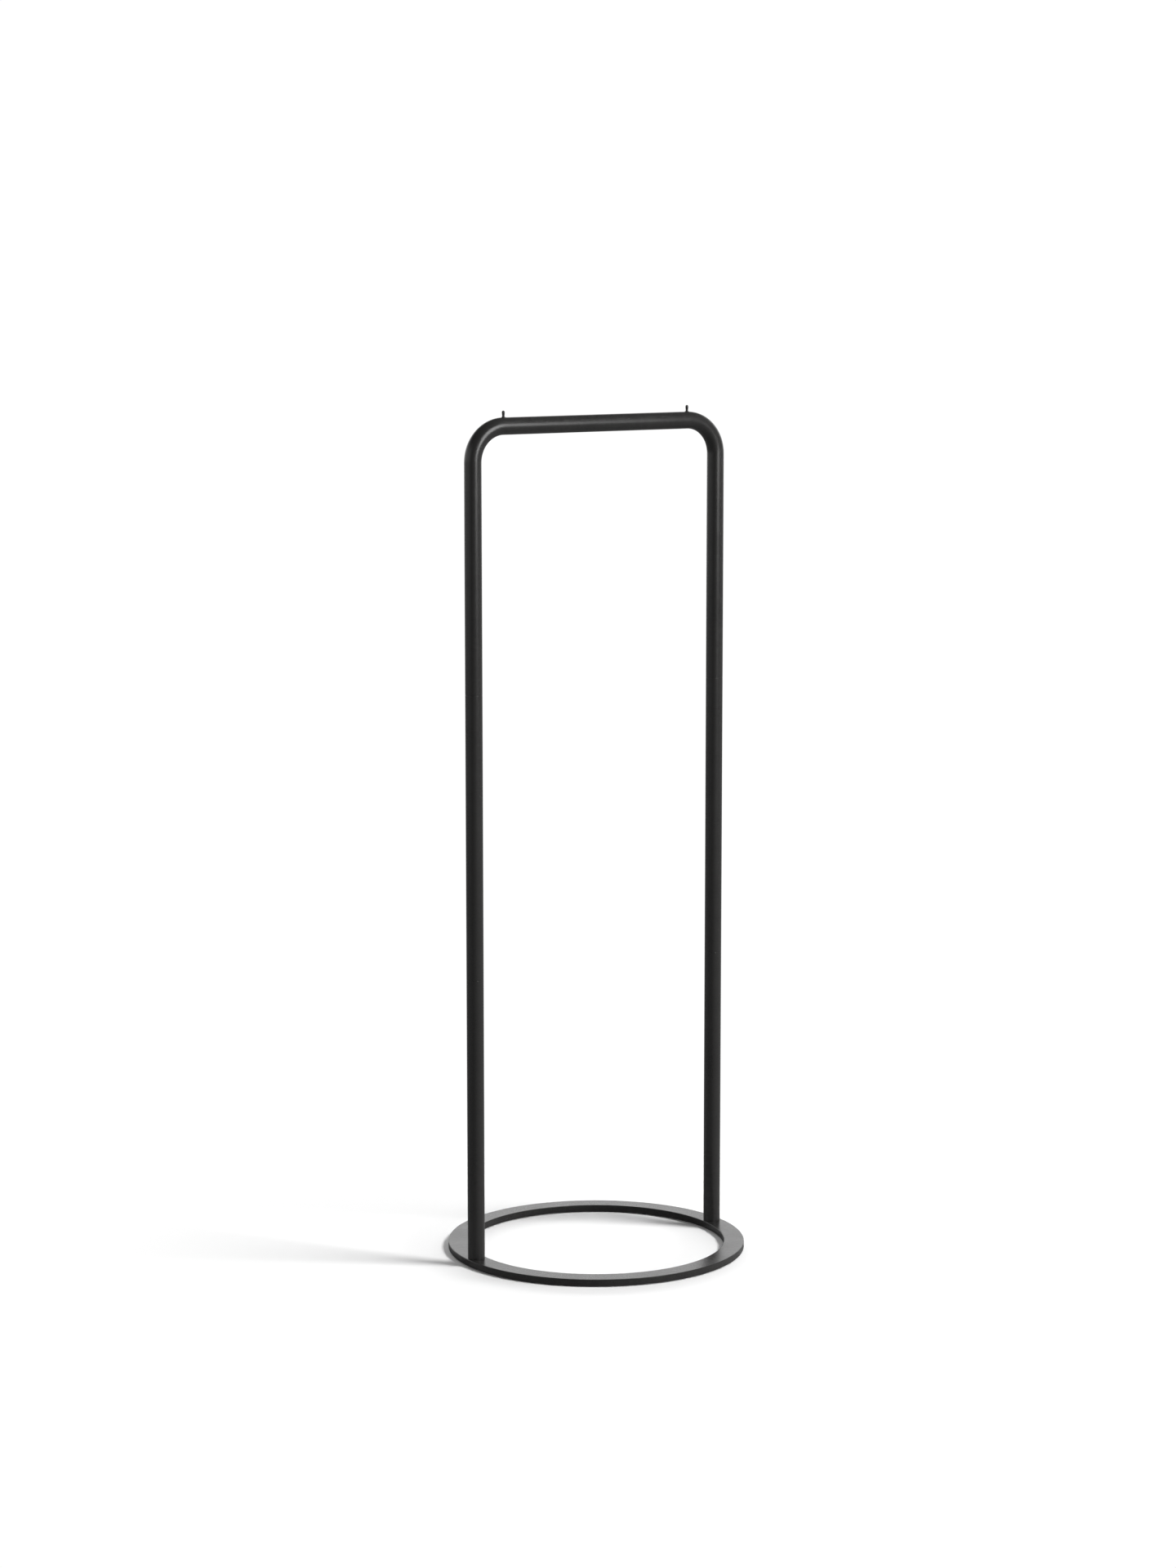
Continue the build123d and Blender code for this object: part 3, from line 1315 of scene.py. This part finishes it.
@dataclass(frozen=True)
class SoftBox:
    """A flat area light that faces a point on the rack's axis."""

    name: str
    azimuth: float
    distance: float
    height: float
    width: float
    tall: float
    power: float
    aim_height: float = 0.2
    reach: Reach = Reach.MATT

    def build(self) -> None:
        """Makes the light, which the camera itself doesn't see."""
        light = bpy.data.lights.new(self.name, "AREA")
        light.shape, light.energy = "RECTANGLE", self.power
        light.size, light.size_y = self.width, self.tall
        stand = bpy.data.objects.new(self.name, light)
        stand.location = heading(self.azimuth, 0.0) * self.distance + Vector((0.0, 0.0, self.height))
        away = stand.location - Vector((0.0, 0.0, self.aim_height))
        stand.rotation_euler = away.to_track_quat("Z", "Y").to_euler()
        stand.visible_camera = False
        stand.visible_glossy = self.reach is Reach.SHINE
        stand.visible_diffuse = self.reach is Reach.MATT
        bpy.context.scene.collection.objects.link(stand)


LIGHTS = (
    SoftBox(
        "key_light",
        azimuth=14.0,
        distance=2.8,
        height=2.1,
        width=1.35,
        tall=1.7,
        power=53.0,
        aim_height=1.2,
        reach=Reach.SHINE,
    ),
    SoftBox("low_light", azimuth=50.0, distance=12.0, height=1.2, width=4.5, tall=2.0, power=1540.0),
    SoftBox("side_light", azimuth=42.0, distance=6.0, height=6.9, width=2.3, tall=2.3, power=630.0),
    SoftBox("back_light", azimuth=149.0, distance=7.0, height=1.25, width=14.0, tall=2.3, power=900.0),
)


@dataclass(frozen=True)
class Studio:
    """A white floor, a white backdrop, and a room that is darker on the camera's side.

    Each level is how bright a thing is: as the camera sees it, or as it is felt by everything else.
    """

    floor_size: float = 40.0
    floor_seen: float = 1.015
    floor_felt: float = 0.27
    floor_shaded_to: float = 0.42
    floor_white_from: float = 1.0
    sweep_felt: float = 0.22
    backdrop_seen: float = 1.02
    backdrop_felt: float = 1.62
    room_felt: float = 0.13
    ceiling_felt: float = 0.12
    backdrop_azimuth: float = 148.7
    flank_felt: float = 0.9
    flank_azimuth: float = -120.0
    wall_blend: tuple[float, float] = (0.3, 0.9)
    ceiling_blend: tuple[float, float] = (0.25, 0.6)

    def floor(self) -> None:
        """Lays the floor, which looks whiter than it shines on the rack."""
        half = self.floor_size / 2
        corners = [(-half, -half, 0.0), (half, -half, 0.0), (half, half, 0.0), (-half, half, 0.0)]
        mesh = bpy.data.meshes.new("studio_floor")
        mesh.from_pydata(corners, [], [(0, 1, 2, 3)])
        floor = new_object("studio_floor", mesh)
        surface = Surface("studio_floor")
        level = surface.seen_or_felt(self.floor_seen, self.floor_felt)
        colour = surface.add("ShaderNodeCombineColor", inputs={0: level, 1: level, 2: level})
        matt = surface.add("ShaderNodeBsdfDiffuse", inputs={"Color": colour.outputs[0]})
        glow = surface.seen_or_felt(self.backdrop_seen, self.sweep_felt)
        white = surface.add("ShaderNodeEmission", inputs={"Strength": glow})
        x, y, _ = surface.axes(surface.place)
        far = (x * x + y * y).root().smooth_step(self.floor_shaded_to, self.floor_white_from)
        mix = {0: far, 1: matt.outputs[0], 2: white.outputs[0]}
        mixed = surface.add("ShaderNodeMixShader", inputs=mix)
        mesh.materials.append(surface.finish_with(mixed.outputs[0]))

    def room(self) -> None:
        """Surrounds the rack with soft light: bright behind it, dim on the camera's side."""
        world = bpy.data.worlds.new("studio_room")
        world.use_nodes = True
        graph = Graph(world.node_tree)
        way = graph.add("ShaderNodeTexCoord").outputs["Generated"]
        walls = []
        for azimuth in (self.backdrop_azimuth, self.flank_azimuth):
            ends = {0: way, 1: heading(azimuth, 0.0)}
            facing = graph.add("ShaderNodeVectorMath", {"operation": "DOT_PRODUCT"}, ends)
            walls.append(graph.number(facing, "Value").smooth_step(*self.wall_blend))
        behind, beside = walls
        _, _, up = graph.axes(way)
        overhead = up.smooth_step(*self.ceiling_blend)
        felt = self.room_felt + self.flank_felt * beside
        felt = felt + (self.backdrop_felt - felt) * behind
        felt = felt + (self.ceiling_felt - felt) * overhead
        strength = graph.seen_or_felt(self.backdrop_seen, felt)
        light = graph.add("ShaderNodeBackground", inputs={"Color": WHITE, "Strength": strength})
        graph.add("ShaderNodeOutputWorld", inputs={"Surface": light.outputs[0]})
        bpy.context.scene.world = world

    def build(self) -> None:
        """Sets up the floor, the room and the lights."""
        self.floor()
        self.room()
        for light in LIGHTS:
            light.build()
        view = bpy.context.scene.view_settings
        view.view_transform, view.look = "Standard", "None"


def main() -> None:
    """Builds the rack, then the studio and the camera."""
    logging.basicConfig(level=logging.INFO, format="%(name)s: %(message)s")
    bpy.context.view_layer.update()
    sizes, shop = RackSizes.from_frame(), Workshop()
    Base(sizes, shop).build()
    for side in Side:
        Leg(side, sizes, shop).build()
    Hoop(sizes, shop).build()
    Studio().build()
    Viewpoint().build()


if __name__ == "__main__":
    main()
